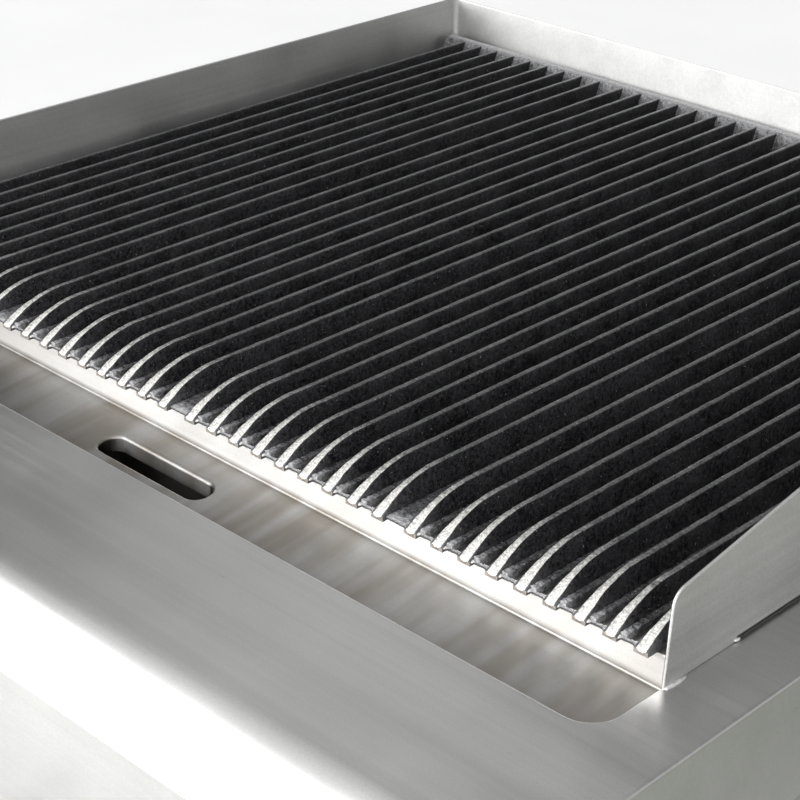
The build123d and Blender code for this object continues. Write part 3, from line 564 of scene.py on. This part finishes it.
def make_grate(index):
    """One casting: ribs, front lip, border, ridges between the ribs, end wall and ties."""
    node = f"grate_{index}"
    low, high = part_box(node)
    seat = low[2] + TIE_DEPTH
    back = high[2] - seat
    front = back - RIB_RISE
    x0, foot_y, back_y = low[0], low[1], high[1]
    width = high[0] - low[0]
    end_y = back_y - END_WALL
    mesh = bmesh.new()
    floor_z = seat + FLOOR_THICKNESS
    centres = [x0 + FIRST_RIB + RIB_PITCH * i for i in range(RIBS)]
    for x in centres:
        add_rib(mesh, x, foot_y + RIB_START, seat, front, back, back_y - foot_y,
                end_y - foot_y - RIB_START)
    add_lip(mesh, x0, x0 + width, foot_y, seat, floor_z, centres)
    slot_back = end_y - END_WALL_LEAN
    slot_front = foot_y + SLOT_LIP
    margin = centres[0] - RIB_FOOT_WIDTH / 2 + 0.4 * MM
    add_rough_bar(mesh, x0, margin, slot_front, slot_back, seat, floor_z, 12, 0.9 * MM)
    for x in centres[:-1]:
        ridge_x = x + RIB_FOOT_WIDTH / 2 - 0.3 * MM
        top = floor_z + RIDGE_HEIGHT
        add_rough_bar(mesh, ridge_x, ridge_x + RIDGE_WIDTH, slot_front - 0.4 * MM, slot_back,
                      seat, top, 4, 1.3 * MM)
    wall = [
        (slot_back, seat), (slot_back, floor_z), (end_y, seat + back),
        (back_y, seat + back), (back_y, seat),
    ]
    add_prism(mesh, wall, x0, x0 + width, LIP)
    for share in TIE_SHARES:
        tie_y = foot_y + share * (back_y - foot_y)
        near, far = tie_y - TIE_WIDTH / 2, tie_y + TIE_WIDTH / 2
        add_box(mesh, (x0 + MM, near, low[2]), (x0 + width - MM, far, seat + MM), IRON)
    data = bpy.data.meshes.new(node + "_casting")
    bmesh.ops.recalc_face_normals(mesh, faces=mesh.faces)
    mesh.to_mesh(data)
    mesh.free()
    for name in ("grate_iron", "ground_iron", "lip_iron", "tip_iron"):
        data.materials.append(materials[name])
    piece = bpy.data.objects.new(node + "_casting", data)
    bpy.context.scene.collection.objects.link(piece)
    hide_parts(node)
    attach(piece, node)


for number in range(1, 5):
    make_grate(number)

# ---- steel and fittings ----------------------------------------------------
# The drain chute takes the dark fire_steel finish as painted shade, darkening the inside of the
# drain slot.
look = dict(node_slot, side_panel_left="side_steel", side_panel_right="side_steel",
            drain_chute="fire_steel", firebox_left="inner_steel", firebox_right="inner_steel")
for node in sorted(frame["nodes"]):
    if node.startswith("grate_"):
        continue
    dress(node, look[node], node_body[node],
          edge=WIDER_EDGES.get(node, SHEET_EDGE), rim=RIMS.get(node))


WELD_RIPPLE = 0.55 * MM


def add_weld(name, centre, radii):
    """Dressed weld: a rippled bead half sunk in the sheet, riding on the body."""
    mesh = bmesh.new()
    bmesh.ops.create_icosphere(mesh, subdivisions=4, radius=1.0)
    for vert in mesh.verts:
        ripple = 1 + 0.03 * math.sin(vert.co.y * radii[1] / WELD_RIPPLE)
        ripple += wobble(*vert.co, 2.0, 0.10)
        vert.co = Vector([c * r for c, r in zip(vert.co, radii)]) * ripple + Vector(centre)
    for face in mesh.faces:
        face.smooth = True
    data = bpy.data.meshes.new(name)
    mesh.to_mesh(data)
    mesh.free()
    data.materials.append(materials["weld_steel"])
    piece = bpy.data.objects.new(name, data)
    bpy.context.scene.collection.objects.link(piece)
    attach(piece, "unit")


slot_y = GUARD_LOW[1] + GUARD_SLOT_FRONT
for side, face_x in (("left", GUARD_LOW[0]), ("right", GUARD_HIGH[0])):
    add_weld(f"front_weld_{side}", (face_x, GUARD_LOW[1] + 7 * MM, GUARD_LOW[2]),
             (1.7 * MM, 7 * MM, 1.5 * MM))
    add_weld(f"slot_weld_{side}", (face_x, slot_y, GUARD_LOW[2] + 0.9 * MM),
             (0.9 * MM, 1.8 * MM, 0.8 * MM))


# ---- floor, light and camera ------------------------------------------------
def make_floor():
    """Plain pale floor."""
    size = 6.0
    mesh = bmesh.new()
    bmesh.ops.create_grid(mesh, x_segments=8, y_segments=8, size=size)
    data = bpy.data.meshes.new("floor")
    mesh.to_mesh(data)
    mesh.free()
    shader = Shader("floor_paint")
    mottle = shader.noise(shader.place(), 6.0, detail=3.0)
    shader.link(shader.ramp(mottle, [(0.3, (0.90, 0.90, 0.90)), (0.7, (0.925, 0.925, 0.925))]),
                shader.bsdf.inputs["Base Color"])
    shader.bsdf.inputs["Roughness"].default_value = 0.8
    data.materials.append(shader.material)
    floor = bpy.data.objects.new("floor", data)
    bpy.context.scene.collection.objects.link(floor)


def area_light(name, place, aim, size, power):
    """Soft rectangular light."""
    data = bpy.data.lights.new(name, "AREA")
    data.shape = "RECTANGLE"
    data.size, data.size_y = size
    data.energy = power
    light = bpy.data.objects.new(name, data)
    light.location = place
    direction = Vector(aim) - Vector(place)
    light.rotation_euler = direction.to_track_quat("-Z", "Y").to_euler()
    bpy.context.scene.collection.objects.link(light)


def sky_value(tree, source, start, end, low, high):
    """Maps a world value from start..end to low..high."""
    made = tree.nodes.new("ShaderNodeMapRange")
    limits = {"From Min": start, "From Max": end, "To Min": low, "To Max": high}
    for key, number in limits.items():
        made.inputs[key].default_value = number
    tree.links.new(source, made.inputs["Value"])
    return made.outputs["Result"]


def sky_join(tree, operation, *sources):
    """Adds or multiplies world values."""
    total = sources[0]
    for source in sources[1:]:
        made = tree.nodes.new("ShaderNodeMath")
        made.operation = operation
        tree.links.new(total, made.inputs[0])
        tree.links.new(source, made.inputs[1])
        total = made.outputs["Value"]
    return total


def make_light():
    """Soft studio: a sky brightest at the front left and overhead, a key light, and one
    for the floor in front. The camera itself sees a white sky."""
    world = bpy.data.worlds.new("studio")
    world.use_nodes = True
    tree = world.node_tree
    split = tree.nodes.new("ShaderNodeSeparateXYZ")
    coords = tree.nodes.new("ShaderNodeTexCoord")
    tree.links.new(coords.outputs["Generated"], split.inputs["Vector"])
    east, north, up = split.outputs["X"], split.outputs["Y"], split.outputs["Z"]
    left = sky_value(tree, east, -0.50, -0.25, 1.0, 0.0)
    front = sky_value(tree, north, -0.45, -0.70, 0.0, 5.11)
    total = sky_join(
        tree, "ADD",
        sky_value(tree, up, 0.70, 0.95, 0.10, 1.02),
        sky_value(tree, north, 0.10, -0.70, 0.0, 0.82),
        sky_join(tree, "MULTIPLY", left, front),
        sky_value(tree, east, 0.20, 0.90, 0.0, 0.85),
        sky_value(tree, east, -0.76, -0.64, 0.0, 0.60),
        sky_value(tree, east, -0.56, -0.42, 0.0, -0.60),
    )
    path = tree.nodes.new("ShaderNodeLightPath")
    seen = tree.nodes.new("ShaderNodeMix")
    tree.links.new(path.outputs["Is Camera Ray"], seen.inputs["Factor"])
    tree.links.new(total, seen.inputs["A"])
    seen.inputs["B"].default_value = 1.0
    tree.links.new(seen.outputs["Result"], tree.nodes["Background"].inputs["Strength"])
    tree.nodes["Background"].inputs["Color"].default_value = (1.0, 1.0, 1.0, 1)
    bpy.context.scene.world = world
    area_light("key", (-1.7, -1.9, 1.15), (0, 0, 0.28), (2.0, 1.3), 6.0)
    area_light("floor_front", (0.1, -1.0, 0.5), (0.1, -0.999, 0.0), (1.6, 0.7), 22.0)


def make_flag():
    """Grey studio card on the floor at the right, kept out of sight, that the side faces mirror."""
    mesh = bmesh.new()
    bmesh.ops.create_grid(mesh, x_segments=4, y_segments=4, size=0.5)
    for vert in mesh.verts:
        vert.co = Vector((1.15 + 1.5 * vert.co.x, 0.7 + 2.6 * vert.co.y, 0.004))
    data = bpy.data.meshes.new("flag")
    mesh.to_mesh(data)
    mesh.free()
    shader = Shader("flag_card")
    mottle = shader.noise(shader.place(), 4.0, detail=2.0)
    shader.link(shader.ramp(mottle, [(0.3, (0.39, 0.40, 0.36)), (0.7, (0.43, 0.44, 0.40))]),
                shader.bsdf.inputs["Base Color"])
    shader.bsdf.inputs["Roughness"].default_value = 0.9
    data.materials.append(shader.material)
    flag = bpy.data.objects.new("flag", data)
    flag.visible_camera = False
    flag.visible_diffuse = False
    flag.visible_shadow = False
    bpy.context.scene.collection.objects.link(flag)


def make_camera():
    """Three-quarter view from the front right, close to the grates."""
    azimuth, elevation, roll = math.radians(43.66), math.radians(26.89), math.radians(1.24)
    data = bpy.data.cameras.new("camera")
    data.sensor_width = 36.0
    data.lens = 89.7
    data.clip_start = 0.01
    camera = bpy.data.objects.new("camera", data)
    back = Vector((math.sin(azimuth) * math.cos(elevation),
                   -math.cos(azimuth) * math.cos(elevation), math.sin(elevation)))
    place = Vector((0.6078, -0.6788, 0.6930))
    level = (-back).to_track_quat("-Z", "Y").to_matrix()
    turned = level @ Matrix.Rotation(roll, 3, "Z")
    camera.matrix_world = Matrix.Translation(place) @ turned.to_4x4()
    bpy.context.scene.collection.objects.link(camera)
    bpy.context.scene.camera = camera


make_floor()
make_flag()
make_light()
make_camera()
bpy.context.scene.view_settings.view_transform = "Standard"
